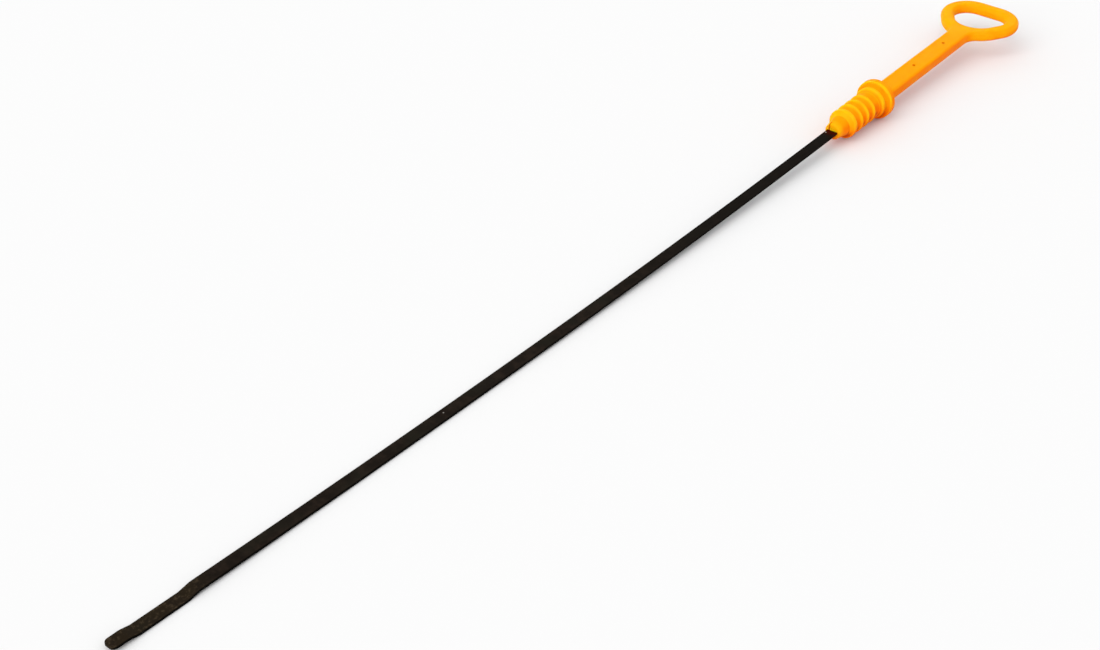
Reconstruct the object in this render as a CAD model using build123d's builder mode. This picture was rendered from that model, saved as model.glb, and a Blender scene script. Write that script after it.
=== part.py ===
from build123d import *
from math import atan2, cos, radians, sin, tan
import os

# Engine oil dipstick: a flat steel strip with a plastic handle moulded round its end.
# Millimetres. X runs along the part, from the tip to the finger loop, and Z is up.
# The part lies at rest: the flange and the marked zone near the tip touch the plane Z = 0.

# Strip, from the front of the nose to the tip
strip_w = 5.0
strip_t = 1.0
strip_run = 380.9
strip_edge_r = 0.2
bow_radius = 5280.0
tip_corner_r = 1.9

# Level marks: two offset bends in the strip's straight end, at distances from the tip
end_len = 42.0
low_mark = 7.8
low_step = 0.75
low_ramp = 3.6
high_mark = 29.7
high_step = 0.95
high_ramp = 4.5
mark_bend_r = 5.0

# Nose and lead-in lip
nose_r = 3.5
nose_edge_r = 0.5
cone_len = 6.5
cone_r = 4.6
lip_root_r = 0.8
lip_rise = 1.4
lip_w = 2.0
lip_edge_r = 1.0
slit_w = 0.35
slit_depth = 1.6

# Sealing ribs, as high as the lip: each sweeps up in a hollow curve and drops steeply behind its crest
seal_r = 6.5
rib_h = 1.3
rib_count = 3
rib_first = 4.2
rib_pitch = 4.85
rib_rise = 1.6
rib_hollow_r = 4.0
rib_land = 0.9
rib_drop = 0.5
rib_edge_r = 0.3
root_r = 0.3

# Shoulder and flange
flare_gap = 2.85
flare_len = 2.2
flare_r = 6.0
shoulder_r = 7.05
shoulder_w = 1.5
shoulder_edge_r = 0.5
shoulder_drop = 0.5
groove_h = 0.85
groove_w = 1.2
flange_r = 8.75
flange_t = 4.0
flange_root_r = 0.9
flange_edge_r = 1.0

# Stem, from the back of the flange to the middle of the loop's nearest bar
stem_len = 75.1
stem_w = 9.5
stem_t = 5.0
stem_edge_r = 1.5
stem_root_r = 1.6
pin_mark_d = 1.3
pin_mark_first = 30.0
pin_mark_gap = 26.0

# Tang: the hidden end of the strip in the stem, held by plastic that fills its hole
tang_past_pin = 4.8
anchor_hole_d = 2.4

# Finger loop: a rounded triangle with its blunt apex on the stem, along the middle of its bar
loop_len = 25.3
loop_slant = 32.0
loop_apex_r = 13.5
loop_far_r = 10.0
bar_w = 6.2
bar_hole_edge_r = 2.1
junction_r = 6.5

# Stations along the handle's axis, counted from the front of the nose
lip_start = cone_len + lip_rise
lip_end = lip_start + lip_w
rib_crests = [lip_end + rib_first + rib * rib_pitch for rib in range(rib_count)]
flare_start = rib_crests[-1] + rib_land / 2 + rib_drop + flare_gap
shoulder_start = flare_start + flare_len
shoulder_end = shoulder_start + shoulder_w
flange_start = shoulder_end + shoulder_drop + groove_w
flange_end = flange_start + flange_t
pin_marks = [flange_end + pin_mark_first, flange_end + pin_mark_first + pin_mark_gap]
anchor_hole = flange_end + pin_mark_first + pin_mark_gap / 2
tang_end = pin_marks[-1] + tang_past_pin
loop_near = flange_end + stem_len
loop_far = loop_near + loop_len
loop_apex = loop_near + loop_apex_r - loop_apex_r / sin(radians(loop_slant))
loop_half = (loop_far - loop_apex) * tan(radians(loop_slant))

# The strip leaves the nose along the axis and bows upwards in one arc, up to its straight end.
bow_angle = (strip_run - end_len) / bow_radius
bow_end = (-bow_radius * sin(bow_angle), bow_radius * (1 - cos(bow_angle)))


def on_end(from_tip, above):
    # Point of the side view, at a distance from the tip and above the line of the straight end
    along = end_len - from_tip
    return (
        bow_end[0] - along * cos(bow_angle) + above * sin(bow_angle),
        bow_end[1] + along * sin(bow_angle) + above * cos(bow_angle),
    )


tip_height = low_step - high_step
tip_point = on_end(0, tip_height)

# The line that touches the flange's rim and the underside of the marked zone lies on the floor.
flange_rest = (flange_start + flange_edge_r, -flange_r)
zone_rest = on_end(high_mark - high_ramp / 2, -high_step - strip_t / 2)
lay_angle = atan2(zone_rest[1] - flange_rest[1], flange_rest[0] - zone_rest[0])
tip_x = tip_point[0] * cos(lay_angle) - tip_point[1] * sin(lay_angle)
loop_x = (loop_far + bar_w / 2) * cos(lay_angle)
nose_height = -flange_rest[0] * sin(lay_angle) - flange_rest[1] * cos(lay_angle)
nose_point = (-(tip_x + loop_x) / 2, 0, nose_height)


def tipped(angle):
    # Directions along and across a line that rises by this angle along X
    return (cos(angle), 0, sin(angle)), (-sin(angle), 0, cos(angle))


axis_dir, axis_up = tipped(lay_angle)
axis = Axis(nose_point, axis_dir)
side = Plane(origin=nose_point, x_dir=axis_dir, z_dir=(0, -1, 0))
flat = Plane(origin=nose_point, x_dir=axis_dir, z_dir=axis_up)
end_dir, end_up = tipped(lay_angle - bow_angle)
end = Plane(origin=side.from_local_coords(tip_point), x_dir=end_dir, z_dir=end_up)

# Strip: its side view, cut to its plan view
with BuildPart() as strip:
    with BuildSketch(side):
        with BuildLine():
            Line((tang_end, 0), (0, 0))
            TangentArc((0, 0), bow_end, tangent=(-1, 0))
            FilletPolyline(
                bow_end,
                on_end(high_mark + high_ramp / 2, 0),
                on_end(high_mark - high_ramp / 2, -high_step),
                on_end(low_mark + low_ramp / 2, -high_step),
                on_end(low_mark - low_ramp / 2, tip_height),
                tip_point,
                radius=mark_bend_r,
            )
        trace(line_width=strip_t)
    extrude(amount=strip_w / 2, both=True)
    with BuildSketch(end) as blank:
        Rectangle(strip_run + tang_end, strip_w, align=(Align.MIN, Align.CENTER))
        fillet(blank.vertices().group_by(Axis.X)[0], radius=tip_corner_r)
    extrude(amount=strip_run, both=True, mode=Mode.INTERSECT)
    with BuildSketch(flat):
        with Locations((anchor_hole, 0)):
            Circle(anchor_hole_d / 2)
    extrude(amount=strip_t, both=True, mode=Mode.SUBTRACT)
    fillet(strip.faces().filter_by(Axis.Y).edges(), radius=strip_edge_r)
strip.part.label = "strip"

# Handle: corners of the turned profile with their roundings, from the nose to the back of the flange
valley_r = seal_r - rib_h
groove_r = shoulder_r - groove_h
corners = [
    (0, nose_r, nose_edge_r),
    (cone_len, cone_r, lip_root_r),
    (lip_start, seal_r, lip_edge_r),
    (lip_end, seal_r, lip_edge_r),
    (lip_end + rib_drop, valley_r, root_r),
]
for crest in rib_crests:
    corners += [
        (crest - rib_land / 2 - rib_rise, valley_r, rib_hollow_r),
        (crest - rib_land / 2, seal_r, rib_edge_r),
        (crest + rib_land / 2, seal_r, rib_edge_r),
        (crest + rib_land / 2 + rib_drop, valley_r, root_r),
    ]
corners += [
    (flare_start, valley_r, flare_r),
    (shoulder_start, shoulder_r, shoulder_edge_r),
    (shoulder_end, shoulder_r, shoulder_edge_r),
    (shoulder_end + shoulder_drop, groove_r, root_r),
    (flange_start, groove_r, flange_root_r),
    (flange_start, flange_r, flange_edge_r),
    (flange_end, flange_r, flange_edge_r),
]
profile = [(0, 0)] + [(station, radius) for station, radius, rounding in corners] + [(flange_end, 0)]

with BuildSketch() as loop:
    with BuildLine():
        FilletPolyline(
            (loop_apex, 0),
            (loop_far, loop_half),
            (loop_far, -loop_half),
            radius=[loop_apex_r, loop_far_r, loop_far_r],
            close=True,
        )
    make_face()

with BuildPart() as handle:
    # Flat stem and finger loop, rounded more at the finger hole than outside
    with BuildSketch(flat) as plan:
        offset(loop.sketch_local, amount=bar_w / 2)
        with Locations((flange_start, 0)):
            Rectangle(loop_near - flange_start, stem_w, align=(Align.MIN, Align.CENTER))
        junctions = plan.vertices().filter_by_position(Axis.X, flange_end, loop_near).group_by(Axis.X)[0]
        fillet(junctions, radius=junction_r)
        offset(loop.sketch_local, amount=-bar_w / 2, mode=Mode.SUBTRACT)
    extrude(amount=stem_t / 2, both=True)
    skins = handle.faces().filter_by(Axis(nose_point, axis_up))
    hole_edges = ShapeList(edge for skin in skins for edge in skin.inner_wires()[0].edges())
    outer_edges = ShapeList(edge for skin in skins for edge in skin.outer_wire().edges())
    fillet(hole_edges, radius=bar_hole_edge_r)
    fillet(outer_edges.sort_by(axis)[2:], radius=stem_edge_r)

    # Plug and flange, turned about the axis
    with BuildSketch(side):
        with BuildLine():
            FilletPolyline(*profile, radius=[rounding for station, radius, rounding in corners])
            Line((flange_end, 0), (0, 0))
        make_face()
    revolve(axis=axis)
    across = handle.faces().filter_by(axis)
    flange_back = across.filter_by_position(axis, flange_start + flange_t / 2, loop_near).first
    fillet(flange_back.inner_wires()[0].edges(), radius=stem_root_r)

    # Holes of the pins that held the strip in the mould, from both faces of the stem down to the strip
    with BuildSketch(flat):
        with Locations(*[(station, 0) for station in pin_marks]):
            Circle(pin_mark_d / 2)
    extrude(amount=stem_t, both=True, mode=Mode.SUBTRACT)

    # Split beside the strip's edge, in the upper half of the nose
    with BuildSketch(side.offset(-strip_w / 2)):
        Rectangle(slit_depth, seal_r, align=(Align.MIN, Align.MIN))
    extrude(amount=-slit_w, mode=Mode.SUBTRACT)

    # Pocket that the strip fills
    add(strip.part, mode=Mode.SUBTRACT)
handle.part.label = "handle"

os.makedirs("parts", exist_ok=True)
export_step(strip.part, "parts/strip.step")
export_step(handle.part, "parts/handle.step")
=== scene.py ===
from math import acos, atan2, cos, pi, radians, sin, sqrt, tan

import bmesh
import bpy
from mathutils import Matrix, Vector


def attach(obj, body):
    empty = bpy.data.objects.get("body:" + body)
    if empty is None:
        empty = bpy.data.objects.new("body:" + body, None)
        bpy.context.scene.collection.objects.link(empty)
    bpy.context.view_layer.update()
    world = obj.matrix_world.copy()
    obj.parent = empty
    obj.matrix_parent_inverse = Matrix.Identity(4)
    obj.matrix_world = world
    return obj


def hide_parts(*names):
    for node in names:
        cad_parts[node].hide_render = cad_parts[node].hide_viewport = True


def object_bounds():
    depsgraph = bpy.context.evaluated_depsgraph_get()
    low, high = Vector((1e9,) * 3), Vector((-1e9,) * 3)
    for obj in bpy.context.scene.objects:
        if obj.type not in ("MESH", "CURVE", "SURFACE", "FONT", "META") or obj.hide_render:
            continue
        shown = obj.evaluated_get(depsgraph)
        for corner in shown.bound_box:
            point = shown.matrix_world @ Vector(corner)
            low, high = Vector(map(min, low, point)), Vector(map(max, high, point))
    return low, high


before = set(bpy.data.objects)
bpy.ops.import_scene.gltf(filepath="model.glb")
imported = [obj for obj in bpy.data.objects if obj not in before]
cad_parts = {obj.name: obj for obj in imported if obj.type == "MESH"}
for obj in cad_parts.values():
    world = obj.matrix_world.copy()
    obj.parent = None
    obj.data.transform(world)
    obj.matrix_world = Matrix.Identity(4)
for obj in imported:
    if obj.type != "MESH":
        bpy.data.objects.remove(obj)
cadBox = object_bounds()
scene = bpy.context.scene
print("frame loaded, CAD nodes:", ", ".join(sorted(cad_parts)))

# Where the dipstick lies: middle of the nose's front face (mm) and the tilt of the plug's axis (degrees).
# Pieces are drawn in millimetres along that axis, from the nose to the loop, and this takes them to metres.
millimetre = 0.001
lay = {"nose": (120.2303, 0, 7.0638), "tilt": 2.82473}
nosePlace = Matrix.Translation(Vector(lay["nose"]) * millimetre)
atNose = nosePlace @ Matrix.Rotation(radians(-lay["tilt"]), 4, "Y")
toFloor = atNose @ Matrix.Scale(millimetre, 4)
toNose = atNose.inverted()


# shared helpers: node trees, curves and rounded outlines
def addNode(tree, kind, **settings):
    node = tree.nodes.new(kind)
    for setting, value in settings.items():
        setattr(node, setting, value)
    return node


def feed(tree, socket, value):
    if isinstance(value, bpy.types.NodeSocket):
        tree.links.new(value, socket)
    else:
        socket.default_value = value


def maths(tree, operation, *values):
    node = addNode(tree, "ShaderNodeMath", operation=operation)
    for socket, value in zip(node.inputs, values):
        feed(tree, socket, value)
    return node.outputs[0]


def chain(tree, operation, first, *others):
    for other in others:
        first = maths(tree, operation, first, other)
    return first


def meshTree(name, inputs):
    tree = bpy.data.node_groups.new(name, "GeometryNodeTree")
    tree.interface.new_socket("Geometry", in_out="OUTPUT", socket_type="NodeSocketGeometry")
    tree.interface.new_socket("Geometry", in_out="INPUT", socket_type="NodeSocketGeometry")
    for socketName, kind in inputs.items():
        tree.interface.new_socket(socketName, in_out="INPUT", socket_type="NodeSocket" + kind)
    return tree, addNode(tree, "NodeGroupInput").outputs


def endTree(tree, geometry, material):
    realize = addNode(tree, "GeometryNodeRealizeInstances")
    paint = addNode(tree, "GeometryNodeSetMaterial")
    feed(tree, realize.inputs["Geometry"], geometry)
    feed(tree, paint.inputs["Geometry"], realize.outputs["Geometry"])
    feed(tree, paint.inputs["Material"], material)
    feed(tree, addNode(tree, "NodeGroupOutput").inputs["Geometry"], paint.outputs["Geometry"])


def polyCurve(name, points):
    curve = bpy.data.curves.new(name, "CURVE")
    curve.dimensions = "3D"
    spline = curve.splines.new("POLY")
    spline.points.add(len(points) - 1)
    for place, point in zip(spline.points, points):
        place.co = (*point, 1)
    return bpy.data.objects.new(name, curve)


def plainMesh(obj):
    # the evaluated object as a plain mesh; the object itself goes
    if obj.name not in scene.collection.objects:
        scene.collection.objects.link(obj)
    graph = bpy.context.evaluated_depsgraph_get()
    mesh = bpy.data.meshes.new_from_object(obj.evaluated_get(graph), depsgraph=graph)
    obj.modifiers.clear()
    bpy.data.objects.remove(obj)
    return mesh


def runTree(obj, tree, values):
    modifier = obj.modifiers.new(tree.name, "NODES")
    modifier.node_group = tree
    for item in tree.interface.items_tree:
        if item.in_out == "INPUT" and item.name in values:
            modifier[item.identifier] = values[item.name]
    return plainMesh(obj)


def roundCorners(corners, steps):
    # corners are (x, y, radius); each one with a radius becomes an arc of that many steps
    points = []
    for i, (x, y, radius) in enumerate(corners):
        corner = Vector((x, y))
        if not radius:
            points.append(corner)
            continue
        back = (Vector(corners[i - 1][:2]) - corner).normalized()
        ahead = (Vector(corners[i + 1][:2]) - corner).normalized()
        half = acos(max(-1, min(1, back.dot(ahead)))) / 2
        centre = corner + (back + ahead).normalized() * radius / sin(half)
        first = corner + back * radius / tan(half) - centre
        last = corner + ahead * radius / tan(half) - centre
        start = atan2(first.y, first.x)
        turn = (atan2(last.y, last.x) - start + pi) % (2 * pi) - pi
        for k in range(steps + 1):
            angle = start + turn * k / steps
            points.append(centre + radius * Vector((cos(angle), sin(angle))))
    return points


# materials: lengths are in metres, counted from the nose along the axis for the moulding;
# limits are (none, full), then the shares that belong to them where these are not 0 and 1;
# a noise is (scale, detail, roughness), and a bump is (distance, strength)
orange = {
    # besides the plastic's own tones: a painted lit tone and a painted shaded tone, painted shade
    # underneath, low on the plug, in the hollows and in the nose's split, and a pale painted highlight
    "paintedLit": (1.0, 0.352, 0.001, 1),
    "paintedShaded": (0.99, 0.185, 0.0008, 1),
    "paintedUnderShade": (0.60, 0.070, 0.0006, 1),
    "hollow": (0.56, 0.042, 0.0005, 1),
    "paintedHighlightAndGloss": (1.0, 0.530, 0.005, 1),
    "cloud": (0.96, 0.285, 0.001, 1),
    "recessDark": (0.88, 0.095, 0.003, 1),
    "paintedLightFrom": (-0.5, 0.1, 0.86),  # the way the faces painted lightest look
    "paintedLitRamp": (0.05, 0.85),
    "underShadeRamp": (-0.15, -0.65, 0, 0.9),
    "front": (-0.3, -0.7),
    "crestRadius": 0.0065,
    "crestSteps": ((0.0285, 0.00055), (0.0325, 0.0017)),  # from, rise
    "plugEnd": 0.0343,
    "crestDepth": (-0.0008, -0.0001),
    "crestSides": (-0.3, 0.45),
    "hollowDepth": (-0.0004, -0.0011),
    "hollowSides": (0.05, -0.7),
    "hollowStart": 0.0060,
    "lowSideShade": (0.001, -0.006, 0, 0.8),
    "leadIn": (0.0088, 0.0078),
    "leadInHeight": (-0.0040, 0.0025, 0, 0.7),
    "noseTip": (0.0036, 0.0010),
    "seat": (0.0318, 0.0326, 0, 0.35),
    "seatHeight": (-0.005, 0.001),
    "loop": (0.096, 0.116),
    "loopPaintedLit": (-0.5, 0.4),
    "loopTopHighlight": (0.72, 0.98, 0, 0.4),
    "split": (0.00122, 0.00173, 0.0018),  # near side, far side, depth
    "pins": (0.067, 0.093),
    "pinReach": (0.00088, 0.0006, 0, 0.8),
    "cloudNoise": (160, 3),
    "clouds": (0.42, 0.75, 0, 0.3),
    "streakNoise": (320, 2),
    "streakStretch": (0.12, 1, 1),
    "streaks": (0.55, 0.85, 0, 0.25),
    "rubNoise": (420, 5),
    "roughness": (0.3, 0.75, 0.38, 0.52),
    "specular": 0.02,
    "glow": 1.0,
    "glowReach": 0.0015,
    "glowColours": (1.0, 0.04, 0.01),
    "seam": (0.00012, 0.0),
    "seamBump": (0.00003, 0.6),
    "waveNoise": (190, 1),
    "waveBump": (0.0004, 0.12),
    "grainNoise": (5200, 2),
    "grainBump": (0.00006, 0.18),
}
steel = {
    # besides the steel's own tones: painted shade towards the handle and on the cut sides, and a painted
    # reflection of the orange handle
    "black": (0.0100, 0.0072, 0.0052, 1),
    "brown": (0.0190, 0.0128, 0.0090, 1),
    "olive": (0.0132, 0.0118, 0.0080, 1),
    "endShade": (0.0050, 0.0038, 0.0026, 1),
    "wiped": (0.0178, 0.0122, 0.0066, 1),
    "speck": (0.058, 0.041, 0.024, 1),
    "side": (0.0024, 0.0019, 0.0015, 1),
    "handleReflection": (0.052, 0.0022, 0.0002, 1),
    "chip": (0.33, 0.31, 0.28, 1),
    "sides": (0.35, 0.9),
    "endShadeRamp": (-0.07, 0.06, 0, 0.8),
    "wipedEnd": (-0.221, -0.231),
    "handleReflectionEnd": (0.1150, 0.1205),
    "chips": (((-0.12055, 0.00064, 0.0016), 0.00103), ((0.1177, 0.0016, 0.0075), 0.00088)),  # place, reach
    "chipEdge": 0.0003,
    "chipRagged": 0.0008,
    "mottleNoise": (240, 6, 0.62),
    "mottle": (0.40, 0.66),
    "patchNoise": (70, 3),
    "patches": (0.45, 0.70, 0, 0.8),
    "smearNoise": (150, 3),
    "smears": (0.3, 0.6, 0.4, 1.0),
    "speckNoise": (760, 5, 0.7),
    "specks": (0.49, 0.70),
    "raggedNoise": (1400, 2),
    "rolledNoise": (900, 4),
    "rolledStretch": (0.05, 1, 1),
    "rolledBump": (0.00008, 0.25),
    "pitNoise": (1500, 4, 0.65),
    "pitBump": (0.00006, 0.3),
    "roughness": (0.3, 0.75, 0.38, 0.56),
    "specular": 0.012,
}


def newMaterial(name):
    material = bpy.data.materials.new(name)
    material.use_nodes = True
    tree = material.node_tree
    return material, tree, tree.nodes["Principled BSDF"]


def noise(tree, coords, scale, detail=4.0, roughness=0.55, stretch=(1, 1, 1)):
    mapping = addNode(tree, "ShaderNodeMapping")
    mapping.inputs["Scale"].default_value = stretch
    feed(tree, mapping.inputs["Vector"], coords)
    texture = addNode(tree, "ShaderNodeTexNoise")
    feed(tree, texture.inputs["Vector"], mapping.outputs["Vector"])
    for socketName, value in (("Scale", scale), ("Detail", detail), ("Roughness", roughness)):
        texture.inputs[socketName].default_value = value
    return texture.outputs["Fac"]


def ramp(tree, value, low, high, outLow=0.0, outHigh=1.0):
    node = addNode(tree, "ShaderNodeMapRange", interpolation_type="SMOOTHSTEP")
    for socket, number in zip(node.inputs, (value, low, high, outLow, outHigh)):
        feed(tree, socket, number)
    return node.outputs["Result"]


def mixColour(tree, factor, first, second):
    node = addNode(tree, "ShaderNodeMix", data_type="RGBA")
    for socket, value in zip((node.inputs[0], node.inputs[6], node.inputs[7]), (factor, first, second)):
        feed(tree, socket, value)
    return node.outputs[2]


def bump(tree, height, distance, strength, normal=None):
    node = addNode(tree, "ShaderNodeBump")
    node.inputs["Distance"].default_value = distance
    node.inputs["Strength"].default_value = strength
    feed(tree, node.inputs["Height"], height)
    if normal:
        feed(tree, node.inputs["Normal"], normal)
    return node.outputs["Normal"]


def axes(tree, vector):
    node = addNode(tree, "ShaderNodeSeparateXYZ")
    feed(tree, node.inputs["Vector"], vector)
    return node.outputs


def orangeMoulding():
    # semi-gloss moulded plastic with painted light: lighter on top, painted shade at the sides and
    # underneath, paler painted highlights on the crests and on faces turned to the light
    material, tree, surface = newMaterial("orangeMoulding")
    coordinates = addNode(tree, "ShaderNodeTexCoord").outputs
    coords = coordinates["Object"]
    upright = addNode(tree, "ShaderNodeMapping")
    feed(tree, upright.inputs["Vector"], coords)
    upright.inputs["Location"].default_value = toNose.translation
    upright.inputs["Rotation"].default_value = toNose.to_euler()
    along, across, height = axes(tree, upright.outputs["Vector"])
    # painted light: faces turned one way get a lighter tone as if lit, the rest a deeper shaded tone, the
    # loop likewise
    dot = addNode(tree, "ShaderNodeVectorMath", operation="DOT_PRODUCT")
    feed(tree, dot.inputs[0], coordinates["Normal"])
    dot.inputs[1].default_value = orange["paintedLightFrom"]
    facing = dot.outputs["Value"]
    inFront = ramp(tree, axes(tree, coordinates["Normal"])["X"], *orange["front"])
    onLoop = ramp(tree, along, *orange["loop"])
    onPlug = maths(tree, "LESS_THAN", along, orange["plugEnd"])
    # painted shade: the plug's lower side is shaded further
    lowSideShade = maths(tree, "MULTIPLY", onPlug, ramp(tree, height, *orange["lowSideShade"]))
    toSky = maths(tree, "SUBTRACT", facing, lowSideShade)
    loopPaintedLit = maths(tree, "MULTIPLY", onLoop, ramp(tree, facing, *orange["loopPaintedLit"]))
    paintedLit = maths(tree, "MAXIMUM", ramp(tree, toSky, *orange["paintedLitRamp"]), loopPaintedLit)
    colour = mixColour(tree, paintedLit, orange["paintedShaded"], orange["paintedLit"])
    # painted shade on faces that look down
    colour = mixColour(tree, ramp(tree, facing, *orange["underShadeRamp"]), colour, orange["paintedUnderShade"])
    # radius of the crests that carry the painted highlight, which steps up at the shoulder and at the flange
    crest = orange["crestRadius"]
    for start, rise in orange["crestSteps"]:
        crest = maths(tree, "MULTIPLY_ADD", maths(tree, "GREATER_THAN", along, start), rise, crest)
    acrossSquare = maths(tree, "MULTIPLY", across, across)
    fromAxis = maths(tree, "SQRT", maths(tree, "MULTIPLY_ADD", height, height, acrossSquare))
    toCrest = maths(tree, "SUBTRACT", fromAxis, crest)
    # painted highlight along the crests, on the sides turned to the light
    crests = chain(
        tree,
        "MULTIPLY",
        ramp(tree, toCrest, *orange["crestDepth"]),
        onPlug,
        ramp(tree, facing, *orange["crestSides"]),
    )
    # painted shade in the hollows between the ribs, on the sides turned from the light
    hollows = chain(
        tree,
        "MULTIPLY",
        ramp(tree, toCrest, *orange["hollowDepth"]),
        onPlug,
        maths(tree, "GREATER_THAN", along, orange["hollowStart"]),
        ramp(tree, toSky, *orange["hollowSides"]),
    )
    colour = mixColour(tree, hollows, colour, orange["hollow"])
    # painted highlight too, on faces turned to the light: the lead-in faces up to the lip, the flange's seat
    # on the tube, and the loop's top
    leadIn = chain(
        tree,
        "MULTIPLY",
        ramp(tree, along, *orange["leadIn"]),
        maths(tree, "MAXIMUM", inFront, ramp(tree, along, *orange["noseTip"])),
        ramp(tree, height, *orange["leadInHeight"]),
    )
    onSeat = maths(tree, "MULTIPLY", inFront, ramp(tree, along, *orange["seat"]))
    seat = maths(tree, "MULTIPLY", onSeat, ramp(tree, height, *orange["seatHeight"]))
    loopTopHighlight = maths(tree, "MULTIPLY", onLoop, ramp(tree, facing, *orange["loopTopHighlight"]))
    paintedHighlights = chain(tree, "MAXIMUM", crests, leadIn, seat, loopTopHighlight)
    colour = mixColour(tree, paintedHighlights, colour, orange["paintedHighlightAndGloss"])
    # painted shade in the nose's split; darker in the pin holes
    near, far, depth = orange["split"]
    recessDark = chain(
        tree,
        "MULTIPLY",
        maths(tree, "GREATER_THAN", across, near),
        maths(tree, "LESS_THAN", across, far),
        maths(tree, "LESS_THAN", along, depth),
        maths(tree, "GREATER_THAN", height, 0.0),
    )
    for pin in orange["pins"]:
        ahead = maths(tree, "SUBTRACT", along, pin)
        fromPin = maths(tree, "SQRT", maths(tree, "MULTIPLY_ADD", ahead, ahead, acrossSquare))
        recessDark = maths(tree, "MAXIMUM", recessDark, ramp(tree, fromPin, *orange["pinReach"]))
    colour = mixColour(tree, recessDark, colour, orange["recessDark"])
    clouds = ramp(tree, noise(tree, coords, *orange["cloudNoise"]), *orange["clouds"])
    streakNoise = noise(tree, coords, *orange["streakNoise"], stretch=orange["streakStretch"])
    streaks = ramp(tree, streakNoise, *orange["streaks"])
    colour = mixColour(tree, maths(tree, "MAXIMUM", clouds, streaks), colour, orange["cloud"])
    feed(tree, surface.inputs["Base Color"], colour)
    paintedHighlightAndGloss = noise(tree, coords, *orange["rubNoise"])
    feed(tree, surface.inputs["Roughness"], ramp(tree, paintedHighlightAndGloss, *orange["roughness"]))
    surface.inputs["Specular IOR Level"].default_value = orange["specular"]
    surface.inputs["Subsurface Weight"].default_value = orange["glow"]
    surface.inputs["Subsurface Radius"].default_value = orange["glowColours"]
    surface.inputs["Subsurface Scale"].default_value = orange["glowReach"]
    # the mould's halves met in the plane of the strip, which leaves a fine raised line round the sides
    seam = ramp(tree, maths(tree, "ABSOLUTE", height), *orange["seam"])
    line = bump(tree, seam, *orange["seamBump"])
    waves = bump(tree, noise(tree, coords, *orange["waveNoise"]), *orange["waveBump"], line)
    grain = bump(tree, noise(tree, coords, *orange["grainNoise"]), *orange["grainBump"], waves)
    feed(tree, surface.inputs["Normal"], grain)
    return material


def blackenedSteel():
    # oxide-black strip: brown and olive mottling, wiped paler at the marks, painted shade darker towards the
    # handle
    material, tree, surface = newMaterial("blackenedSteel")
    coordinates = addNode(tree, "ShaderNodeTexCoord").outputs
    coords = coordinates["Object"]
    along = axes(tree, coords)["X"]
    mottle = ramp(tree, noise(tree, coords, *steel["mottleNoise"]), *steel["mottle"])
    patches = ramp(tree, noise(tree, coords, *steel["patchNoise"]), *steel["patches"])
    colour = mixColour(tree, mottle, steel["black"], steel["brown"])
    colour = mixColour(tree, patches, colour, steel["olive"])
    # painted shade: darker towards the handle
    colour = mixColour(tree, ramp(tree, along, *steel["endShadeRamp"]), colour, steel["endShade"])
    wiped = ramp(tree, along, *steel["wipedEnd"])
    smears = ramp(tree, noise(tree, coords, *steel["smearNoise"]), *steel["smears"])
    colour = mixColour(tree, maths(tree, "MULTIPLY", wiped, smears), colour, steel["wiped"])
    specks = ramp(tree, noise(tree, coords, *steel["speckNoise"]), *steel["specks"])
    colour = mixColour(tree, maths(tree, "MULTIPLY", wiped, specks), colour, steel["speck"])
    # painted shade: the cut sides darker than the faces
    sideways = maths(tree, "ABSOLUTE", axes(tree, coordinates["Normal"])["Y"])
    sideShade = ramp(tree, sideways, *steel["sides"])
    colour = mixColour(tree, sideShade, colour, steel["side"])
    # a painted reflection of the orange handle where the strip enters the nose, and two small bright chips
    colour = mixColour(tree, ramp(tree, along, *steel["handleReflectionEnd"]), colour, steel["handleReflection"])
    ragged = maths(tree, "MULTIPLY", noise(tree, coords, *steel["raggedNoise"]), steel["chipRagged"])
    for chipAt, reach in steel["chips"]:
        fromChip = addNode(tree, "ShaderNodeVectorMath", operation="DISTANCE")
        feed(tree, fromChip.inputs[0], coords)
        fromChip.inputs[1].default_value = chipAt
        chipped = maths(tree, "ADD", ragged, fromChip.outputs["Value"])
        bare = ramp(tree, chipped, reach, reach - steel["chipEdge"])
        colour = mixColour(tree, bare, colour, steel["chip"])
    feed(tree, surface.inputs["Base Color"], colour)
    streaks = noise(tree, coords, *steel["rolledNoise"], stretch=steel["rolledStretch"])
    feed(tree, surface.inputs["Roughness"], ramp(tree, streaks, *steel["roughness"]))
    surface.inputs["Specular IOR Level"].default_value = steel["specular"]
    rolled = bump(tree, streaks, *steel["rolledBump"])
    pits = bump(tree, noise(tree, coords, *steel["pitNoise"]), *steel["pitBump"], rolled)
    feed(tree, surface.inputs["Normal"], pits)
    return material


orangePaint = orangeMoulding()
steelPaint = blackenedSteel()
print("materials made")

# strip: a flat bar swept along its path, from the tip to the end of the tang
strip = {
    "width": 5.0,
    "thickness": 1.0,
    "edge": 0.2,
    "tipCorner": 1.9,
    "run": 380.9,
    "straightEnd": 42.0,
    "bow": 5280.0,
    "tang": 97.8,
    "bendRadius": 5.0,
    "lowMark": (7.8, 3.6, 0.75),  # from the tip, ramp, step
    "highMark": (29.7, 4.5, 0.95),  # the same
    "bowPoints": 90,
    "tipPoints": 16,
    "bendSteps": 10,
    "edgeSteps": 4,
}


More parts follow.
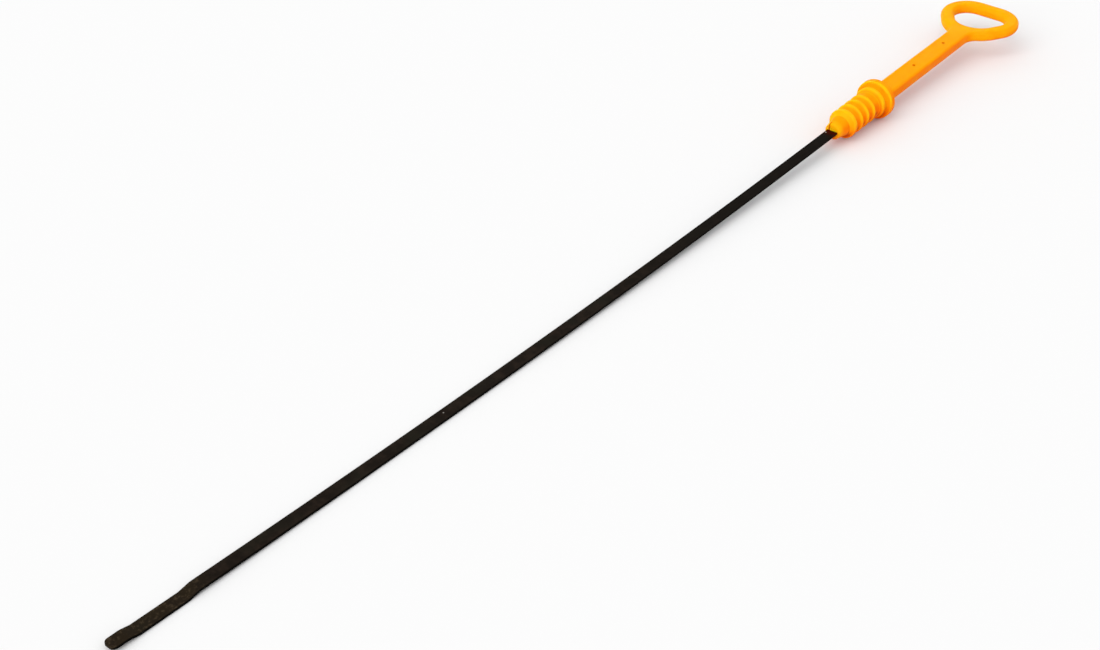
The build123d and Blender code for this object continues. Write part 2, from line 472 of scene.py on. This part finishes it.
def stripPath():
    # side view of the middle line: straight marked end, long bow, then straight into the handle
    bowAngle = (strip["run"] - strip["straightEnd"]) / strip["bow"]
    lowAt, lowRamp, lowStep = strip["lowMark"]
    highAt, highRamp, highStep = strip["highMark"]
    bend = strip["bendRadius"]
    tipHeight = lowStep - highStep
    corners = [
        (0, tipHeight, 0),
        (lowAt - lowRamp / 2, tipHeight, bend),
        (lowAt + lowRamp / 2, -highStep, bend),
        (highAt - highRamp / 2, -highStep, bend),
        (highAt + highRamp / 2, 0, bend),
        (strip["straightEnd"], 0, 0),
    ]
    shares = [k / strip["tipPoints"] for k in range(strip["tipPoints"])]
    tip = [Vector((strip["tipCorner"] * share**2, tipHeight)) for share in shares]
    marked = tip + roundCorners(corners, strip["bendSteps"])[1:]
    turn = Matrix.Rotation(-bowAngle, 2)
    bowEnd = Vector((-sin(bowAngle), 1 - cos(bowAngle))) * strip["bow"]
    path = [bowEnd + turn @ (point - Vector((strip["straightEnd"], 0))) for point in marked]
    for k in range(1, strip["bowPoints"] + 1):
        angle = bowAngle * (1 - k / strip["bowPoints"])
        path.append(Vector((-sin(angle), 1 - cos(angle))) * strip["bow"])
    path.append(Vector((strip["tang"], 0)))
    return [(point.x, 0, point.y) for point in path]


def stripTree():
    sizes = {size: "Float" for size in ("Width", "Thickness", "Edge", "Tip Corner")}
    tree, given = meshTree("stripSweep", {**sizes, "Edge Steps": "Int", "Material": "Material"})
    level = addNode(tree, "GeometryNodeSetCurveNormal", mode="Z_UP")
    feed(tree, level.inputs["Curve"], given["Geometry"])
    keep = addNode(tree, "GeometryNodeCaptureAttribute", domain="POINT")
    keep.capture_items.new("VECTOR", "onPath")
    keep.capture_items.new("FLOAT", "fromTip")
    feed(tree, keep.inputs["Geometry"], level.outputs["Curve"])
    feed(tree, keep.inputs["onPath"], addNode(tree, "GeometryNodeInputPosition").outputs["Position"])
    feed(tree, keep.inputs["fromTip"], addNode(tree, "GeometryNodeSplineParameter").outputs["Length"])
    section = addNode(tree, "GeometryNodeCurvePrimitiveQuadrilateral")
    feed(tree, section.inputs["Width"], given["Width"])
    feed(tree, section.inputs["Height"], given["Thickness"])
    rounded = addNode(tree, "GeometryNodeFilletCurve", mode="POLY")
    feed(tree, rounded.inputs["Curve"], section.outputs["Curve"])
    feed(tree, rounded.inputs["Radius"], given["Edge"])
    feed(tree, rounded.inputs["Count"], given["Edge Steps"])
    sweep = addNode(tree, "GeometryNodeCurveToMesh")
    feed(tree, sweep.inputs["Curve"], keep.outputs["Geometry"])
    feed(tree, sweep.inputs["Profile Curve"], rounded.outputs["Curve"])
    sweep.inputs["Fill Caps"].default_value = True

    def shareLeft(size, radius):
        # share of the full size that a rounded end of this radius leaves, this far from the tip
        inward = maths(tree, "MAXIMUM", maths(tree, "SUBTRACT", radius, keep.outputs["fromTip"]), 0.0)
        inwardSquare = maths(tree, "POWER", inward, 2.0)
        halfSquare = maths(tree, "SUBTRACT", maths(tree, "POWER", radius, 2.0), inwardSquare)
        cut = maths(tree, "SUBTRACT", radius, maths(tree, "SQRT", halfSquare))
        return maths(tree, "SUBTRACT", 1.0, maths(tree, "DIVIDE", maths(tree, "MULTIPLY", cut, 2.0), size))

    across = shareLeft(given["Width"], given["Tip Corner"])
    through = shareLeft(given["Thickness"], given["Edge"])
    shares = addNode(tree, "ShaderNodeCombineXYZ")
    for axis, share in (("X", through), ("Y", across), ("Z", through)):
        feed(tree, shares.inputs[axis], share)
    position = addNode(tree, "GeometryNodeInputPosition").outputs["Position"]
    away = addNode(tree, "ShaderNodeVectorMath", operation="SUBTRACT")
    feed(tree, away.inputs[0], position)
    feed(tree, away.inputs[1], keep.outputs["onPath"])
    drawn = addNode(tree, "ShaderNodeVectorMath", operation="MULTIPLY_ADD")
    feed(tree, drawn.inputs[0], away.outputs[0])
    feed(tree, drawn.inputs[1], shares.outputs[0])
    feed(tree, drawn.inputs[2], keep.outputs["onPath"])
    move = addNode(tree, "GeometryNodeSetPosition")
    feed(tree, move.inputs["Geometry"], sweep.outputs["Mesh"])
    feed(tree, move.inputs["Position"], drawn.outputs[0])
    endTree(tree, move.outputs["Geometry"], given["Material"])
    return tree


stripMesh = runTree(
    polyCurve("stripPath", stripPath()),
    stripTree(),
    {
        "Width": strip["width"],
        "Thickness": strip["thickness"],
        "Edge": strip["edge"],
        "Tip Corner": strip["tipCorner"],
        "Edge Steps": strip["edgeSteps"],
        "Material": steelPaint,
    },
)
print("strip swept:", len(stripMesh.polygons), "faces")

# plug: nose, lip, ribs, shoulder and flange, turned from one profile
plug = {
    "nose": (3.5, 0.5),  # radius, edge
    "cone": (6.5, 4.6, 0.8),  # length, end radius, round into the lip
    "lip": (1.4, 2.0, 1.0),  # rise, width, edge
    "sealRadius": 6.5,
    "ribHeight": 1.3,
    "ribCount": 3,
    "ribFirst": 4.2,
    "ribPitch": 4.85,
    "ribRise": (1.6, 4.0),  # length, radius of the hollow
    "ribLand": 0.9,
    "ribDrop": 0.5,
    "ribEdge": 0.3,
    "root": 0.3,
    "flare": (2.85, 2.2, 6.0),  # gap before it, length, round
    "shoulder": (7.05, 1.5, 0.5, 0.5),  # radius, width, drop, edge
    "groove": (0.85, 1.2),  # depth, width
    "flange": (8.75, 4.0, 0.9, 1.0),  # radius, thickness, root, edge
    "backRing": 7.5,
    "arcSteps": 6,
    "segments": 144,
    "turnCircle": 1.0,
    "weld": 0.0001,
    "slit": (1.7, 0.35, 1.3),  # depth, width, offset from the middle line
    "slitLead": 1.0,  # how far the cutter starts before the nose
}


def plugProfile():
    # corners (distance from the nose, radius, rounding) of the half section
    noseRadius, noseEdge = plug["nose"]
    coneLength, coneRadius, lipRoot = plug["cone"]
    lipRise, lipWidth, lipEdge = plug["lip"]
    ribRise, ribHollow = plug["ribRise"]
    flareGap, flareLength, flareRound = plug["flare"]
    shoulderRadius, shoulderWidth, shoulderDrop, shoulderEdge = plug["shoulder"]
    grooveDepth, grooveWidth = plug["groove"]
    flangeRadius, flangeThickness, flangeRoot, flangeEdge = plug["flange"]
    seal, edge, root, drop = plug["sealRadius"], plug["ribEdge"], plug["root"], plug["ribDrop"]
    valley = seal - plug["ribHeight"]
    corners = [(0, 0, 0), (0, noseRadius, noseEdge), (coneLength, coneRadius, lipRoot)]
    at = coneLength + lipRise
    corners += [(at, seal, lipEdge), (at + lipWidth, seal, lipEdge), (at + lipWidth + drop, valley, root)]
    at += lipWidth + plug["ribFirst"] - plug["ribLand"] / 2
    for rib in range(plug["ribCount"]):
        start = at + rib * plug["ribPitch"]
        end = start + plug["ribLand"]
        corners += [(start - ribRise, valley, ribHollow), (start, seal, edge)]
        corners += [(end, seal, edge), (end + drop, valley, root)]
    at = end + drop + flareGap
    corners.append((at, valley, flareRound))
    at += flareLength
    corners += [(at, shoulderRadius, shoulderEdge), (at + shoulderWidth, shoulderRadius, shoulderEdge)]
    at += shoulderWidth + shoulderDrop
    corners.append((at, shoulderRadius - grooveDepth, root))
    at += grooveWidth
    corners += [(at, shoulderRadius - grooveDepth, flangeRoot), (at, flangeRadius, flangeEdge)]
    at += flangeThickness
    corners += [(at, flangeRadius, flangeEdge), (at, plug["backRing"], 0)]
    return roundCorners(corners, plug["arcSteps"]), at


def turnTree():
    # the profile is swept round a small circle, so its radii are counted from that circle
    sizes = {"Segments": "Int", "Circle": "Float", "Weld": "Float"}
    tree, given = meshTree("plugTurn", {**sizes, "Material": "Material"})
    circle = addNode(tree, "GeometryNodeCurvePrimitiveCircle", mode="RADIUS")
    feed(tree, circle.inputs["Resolution"], given["Segments"])
    feed(tree, circle.inputs["Radius"], given["Circle"])
    level = addNode(tree, "GeometryNodeSetCurveNormal", mode="Z_UP")
    feed(tree, level.inputs["Curve"], circle.outputs["Curve"])
    back = addNode(tree, "ShaderNodeCombineXYZ")
    feed(tree, back.inputs["X"], maths(tree, "MULTIPLY", given["Circle"], -1.0))
    inward = addNode(tree, "GeometryNodeTransform")
    feed(tree, inward.inputs["Geometry"], given["Geometry"])
    feed(tree, inward.inputs["Translation"], back.outputs[0])
    turn = addNode(tree, "GeometryNodeCurveToMesh")
    feed(tree, turn.inputs["Curve"], level.outputs["Curve"])
    feed(tree, turn.inputs["Profile Curve"], inward.outputs["Geometry"])
    onAxis = addNode(tree, "GeometryNodeTransform")
    feed(tree, onAxis.inputs["Geometry"], turn.outputs["Mesh"])
    onAxis.inputs["Rotation"].default_value = (0, pi / 2, 0)
    weld = addNode(tree, "GeometryNodeMergeByDistance")
    feed(tree, weld.inputs["Geometry"], onAxis.outputs["Geometry"])
    feed(tree, weld.inputs["Distance"], given["Weld"])
    endTree(tree, weld.outputs["Geometry"], given["Material"])
    return tree


profile, flangeBack = plugProfile()
plugMesh = runTree(
    polyCurve("plugProfile", [(point.y, -point.x, 0) for point in profile]),
    turnTree(),
    {
        "Segments": plug["segments"],
        "Circle": plug["turnCircle"],
        "Weld": plug["weld"],
        "Material": orangePaint,
    },
)
print("plug turned:", len(plugMesh.polygons), "faces")

# stem and finger loop: one plate with rounded edges, flared where it stands on the flange
grip = {
    "stemLength": 75.1,
    "stemWidth": 9.5,
    "thickness": 5.0,
    "stemEdge": 1.3,
    "loopEdge": 2.2,
    "holeEdge": 2.1,
    "rootRadius": 1.6,
    "loopLength": 25.3,
    "loopSlant": 32.0,
    "loopApex": 13.5,
    "loopFar": 10.0,
    "bar": 6.2,
    "junction": 6.5,
    "pinMarks": (30.0, 56.0),  # from the flange
    "pinRadius": 0.65,
    "pinRim": 0.12,
    "pinFloor": 0.3,
    "edgeSteps": 6,
    "arcStep": radians(3),
    "rootSteps": 8,
    "pinSteps": 32,
    "nearBack": (0.0001, 0.001),  # tolerances: off the flange's back, off its ring
    "weld": 0.001,
}


def arc(centre, radius, start, end, outward=1):
    # points of an arc with the side's normals, from start to end in degrees
    start, end = radians(start), radians(end)
    steps = max(2, round(abs(end - start) / grip["arcStep"]))
    found = []
    for k in range(steps + 1):
        angle = start + (end - start) * k / steps
        direction = Vector((cos(angle), sin(angle)))
        found.append((Vector(centre) + direction * radius, direction * outward))
    return found


def mirrored(half):
    # the half outline, followed by its mirror image across the middle line
    other = [(Vector((p.x, -p.y)), Vector((n.x, -n.y))) for p, n in reversed(half)]
    return half + other


def gripOutlines():
    halfBar, halfStem = grip["bar"] / 2, grip["stemWidth"] / 2
    slant = grip["loopSlant"]
    near = flangeBack + grip["stemLength"]
    far = near + grip["loopLength"]
    apexCentre = near + grip["loopApex"]
    apex = apexCentre - grip["loopApex"] / sin(radians(slant))
    farCentre = far - grip["loopFar"]
    cornerY = (farCentre - apex) * tan(radians(slant)) - grip["loopFar"] / cos(radians(slant))
    outerApex, outerFar = grip["loopApex"] + halfBar, grip["loopFar"] + halfBar
    innerApex, innerFar = grip["loopApex"] - halfBar, grip["loopFar"] - halfBar
    # the junction's round touches the stem's side and the outside of the apex
    roundY = halfStem + grip["junction"]
    reach = sqrt((outerApex + grip["junction"]) ** 2 - roundY**2)
    touch = 180 - atan2(roundY, reach) * 180 / pi
    outer = [(Vector((flangeBack + grip["rootRadius"], halfStem)), Vector((0, 1)))]
    outer += arc((apexCentre - reach, roundY), grip["junction"], -90, touch - 180, -1)
    outer += arc((apexCentre, 0), outerApex, touch, 90 + slant)[1:]
    outer += arc((farCentre, cornerY), outerFar, 90 + slant, 0)
    inner = arc((apexCentre, 0), innerApex, 180, 90 + slant, -1)
    inner += arc((farCentre, cornerY), innerFar, 90 + slant, 0, -1)
    # the hole starts on the middle line, so the mirror image of its first point is left out
    return mirrored(outer), mirrored(inner)[:-1]


def edgeRows(outline, radii):
    # rows of (point, height, outward direction, tilt) down the plate's rounded wall, top face to bottom face
    half, steps = grip["thickness"] / 2, grip["edgeSteps"]
    rows = []
    for k in range(steps + 1):
        tilt = pi / 2 * k / steps
        row = []
        for (p, n), radius in zip(outline, radii):
            row.append((p - n * radius * (1 - sin(tilt)), half - radius * (1 - cos(tilt)), n, tilt))
        rows.append(row)
    under = [[(p, -height, n, pi - tilt) for p, height, n, tilt in row] for row in reversed(rows)]
    return rows + under


def outerRadii(outline):
    # crisp along the stem, rounder round the loop
    start = flangeBack + grip["stemLength"] - grip["bar"] / 2 - grip["junction"]
    radii = []
    for p, n in outline:
        share = max(0, min(1, (p.x - start) / (2 * grip["junction"])))
        share = share * share * (3 - 2 * share)
        radii.append(grip["stemEdge"] + (grip["loopEdge"] - grip["stemEdge"]) * share)
    return radii


def wallBetween(bm, rows, closed):
    # quads between rows of vertices
    for upper, lower in zip(rows, rows[1:]):
        count = len(upper)
        for i in range(count if closed else count - 1):
            j = (i + 1) % count
            bm.faces.new((upper[i], lower[i], lower[j], upper[j]))


def ringEdges(bm, verts):
    # edges of a closed ring, made where they are missing
    pairs = zip(verts, verts[1:] + verts[:1])
    return [bm.edges.get(pair) or bm.edges.new(pair) for pair in pairs]


def handleMesh():
    bm = bmesh.new()
    bm.from_mesh(plugMesh)
    outer, hole = gripOutlines()
    outerRows = edgeRows(outer, outerRadii(outer))
    holeRows = edgeRows(hole, [grip["holeEdge"]] * len(hole))
    outerWall = [[bm.verts.new((*p, height)) for p, height, n, tilt in row] for row in outerRows]
    holeWall = [[bm.verts.new((*p, height)) for p, height, n, tilt in row] for row in holeRows]
    wallBetween(bm, outerWall, False)
    wallBetween(bm, holeWall, True)

    # the stem's section flares out to the flange in a concave round
    root = grip["rootRadius"]
    left = [(p.y, height, sin(tilt), cos(tilt)) for p, height, n, tilt in (row[0] for row in outerRows)]
    section = left + [(-y, z, -ny, nz) for y, z, ny, nz in reversed(left)]
    flare = [[row[0] for row in outerWall] + [row[-1] for row in reversed(outerWall)]]
    for k in range(1, grip["rootSteps"] + 1):
        angle = pi / 2 * k / grip["rootSteps"]
        out, at = root * (1 - cos(angle)), flangeBack + root * (1 - sin(angle))
        flare.append([bm.verts.new((at, y + ny * out, z + nz * out)) for y, z, ny, nz in section])
    wallBetween(bm, flare, True)

    # holes of the mould's pins on both faces, with a small rim and a floor, then the flat faces round them
    turns = [2 * pi * k / grip["pinSteps"] for k in range(grip["pinSteps"])]
    for side, wall, ring in ((1, outerWall[0], holeWall[0]), (-1, outerWall[-1], holeWall[-1])):
        top = side * grip["thickness"] / 2
        edges = ringEdges(bm, wall) + ringEdges(bm, ring)
        for at in grip["pinMarks"]:
            rings = []
            for radius, height in (
                (grip["pinRadius"] + grip["pinRim"], top),
                (grip["pinRadius"], top - side * grip["pinRim"]),
                (grip["pinRadius"], side * grip["pinFloor"]),
            ):
                spots = [(cos(turn) * radius, sin(turn) * radius) for turn in turns]
                rings.append([bm.verts.new((flangeBack + at + x, y, height)) for x, y in spots])
            wallBetween(bm, rings, True)
            bm.faces.new(rings[-1])
            edges += ringEdges(bm, rings[0])
        bmesh.ops.triangle_fill(bm, use_beauty=True, edges=edges)
    # the flange's back, between the plug's open ring and the end of the flare
    nearPlane, nearRing = grip["nearBack"]
    behind = [v for v in bm.verts if abs(v.co.x - flangeBack) < nearPlane]
    back = [v for v in behind if abs(Vector(v.co.yz).length - plug["backRing"]) < nearRing]
    back.sort(key=lambda v: atan2(v.co.z, v.co.y))
    bmesh.ops.triangle_fill(bm, use_beauty=True, edges=ringEdges(bm, back) + ringEdges(bm, flare[-1]))
    bmesh.ops.remove_doubles(bm, verts=bm.verts, dist=grip["weld"])
    bmesh.ops.recalc_face_normals(bm, faces=bm.faces)
    mesh = bpy.data.meshes.new("handleRaw")
    bm.to_mesh(mesh)
    bm.free()
    return mesh


def slitNose(mesh):
    # thin upright split in the upper half of the nose, above the strip and off its middle line
    depth, width, offset = plug["slit"]
    lead = plug["slitLead"]
    bm = bmesh.new()
    bmesh.ops.create_cube(bm, size=1)
    for v in bm.verts:
        x, y, z = v.co + Vector((0.5, 0.5, 0.5))
        v.co = (x * (depth + lead) - lead, offset + y * width, z * plug["sealRadius"])
    cutterMesh = bpy.data.meshes.new("slitCutter")
    bm.to_mesh(cutterMesh)
    bm.free()
    cutter = bpy.data.objects.new("slitCutter", cutterMesh)
    scene.collection.objects.link(cutter)
    body = bpy.data.objects.new("handleRaw", mesh)
    cut = body.modifiers.new("slit", "BOOLEAN")
    cut.operation, cut.solver, cut.object = "DIFFERENCE", "EXACT", cutter
    done = plainMesh(body)
    bpy.data.objects.remove(cutter)
    return done


shading = {"crispAngle": 38, "normalWeight": 60}


def finishPiece(name, mesh, material, node):
    # to the floor's frame, smooth with crisp corners, and on the root body in place of its CAD node
    mesh.transform(toFloor)
    mesh.materials.clear()
    mesh.materials.append(material)
    mesh.shade_smooth()
    mesh.set_sharp_from_angle(angle=radians(shading["crispAngle"]))
    draft = bpy.data.objects.new(name + "Draft", mesh)
    even = draft.modifiers.new("evenNormals", "WEIGHTED_NORMAL")
    even.keep_sharp = True
    even.weight = shading["normalWeight"]
    piece = bpy.data.objects.new(name, plainMesh(draft))
    piece.data.name = name
    scene.collection.objects.link(piece)
    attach(piece, "root")
    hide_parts(node)
    print(name, "finished:", sum(len(p.vertices) - 2 for p in piece.data.polygons), "triangles")


finishPiece("dipstickStrip", stripMesh, steelPaint, "strip")
finishPiece("dipstickHandle", slitNose(handleMesh()), orangePaint, "handle")

# floor, light and the photo's camera
studio = {
    "floorColour": (0.88, 0.88, 0.88, 1),
    "floorRoughness": 0.9,
    "floorSize": 12.0,
    "floorDrop": 0.00002,
    "sky": 0.80,
    "keyStrength": 1.5,
    "keyAngle": 55.0,  # degrees, so its shadow is soft
    "keyFrom": (-0.75, -0.05, 0.64),
    "camera": (-0.443046, -0.312025, 0.351548),
    "azimuth": -50.42,
    "elevation": 35.08,
    "roll": 0.29,
    "lens": 55.64,
    "sensor": 36.0,
    "clip": (0.01, 50.0),
}


def makeFloor():
    half = studio["floorSize"] / 2
    mesh = bpy.data.meshes.new("floor")
    corners = [(-half, -half, 0), (half, -half, 0), (half, half, 0), (-half, half, 0)]
    mesh.from_pydata(corners, [], [(0, 1, 2, 3)])
    material, tree, surface = newMaterial("paleFloor")
    surface.inputs["Base Color"].default_value = studio["floorColour"]
    surface.inputs["Roughness"].default_value = studio["floorRoughness"]
    surface.inputs["Specular IOR Level"].default_value = 0.0
    mesh.materials.append(material)
    floor = bpy.data.objects.new("floor", mesh)
    floor.location.z = cadBox[0].z - studio["floorDrop"]
    scene.collection.objects.link(floor)


def makeSky():
    # even light for the object, plain white where the camera or a reflection looks past the floor
    world = bpy.data.worlds.new("studioSky")
    scene.world = world
    world.use_nodes = True
    tree = world.node_tree
    sky = tree.nodes["Background"]
    sky.inputs["Color"].default_value = (1, 1, 1, 1)
    path = addNode(tree, "ShaderNodeLightPath").outputs
    reflected = maths(tree, "MAXIMUM", path["Is Glossy Ray"], path["Is Transmission Ray"])
    seen = maths(tree, "MAXIMUM", path["Is Camera Ray"], reflected)
    feed(tree, sky.inputs["Strength"], ramp(tree, seen, 0.0, 1.0, studio["sky"], 1.0))


def makeKey():
    light = bpy.data.lights.new("key", "SUN")
    light.energy = studio["keyStrength"]
    light.angle = radians(studio["keyAngle"])
    key = bpy.data.objects.new("key", light)
    key.rotation_euler = Vector(studio["keyFrom"]).to_track_quat("Z", "Y").to_euler()
    scene.collection.objects.link(key)


def makeCamera():
    data = bpy.data.cameras.new("photoCamera")
    data.lens, data.sensor_width = studio["lens"], studio["sensor"]
    data.clip_start, data.clip_end = studio["clip"]
    camera = bpy.data.objects.new("photoCamera", data)
    turn = Matrix.Rotation(radians(studio["azimuth"]), 4, "Z")
    lean = Matrix.Rotation(pi / 2 - radians(studio["elevation"]), 4, "X")
    roll = Matrix.Rotation(radians(studio["roll"]), 4, "Z")
    camera.matrix_world = Matrix.Translation(studio["camera"]) @ turn @ lean @ roll
    scene.collection.objects.link(camera)
    scene.camera = camera


makeFloor()
makeSky()
makeKey()
makeCamera()
scene.view_settings.view_transform = "Standard"
print("studio set")
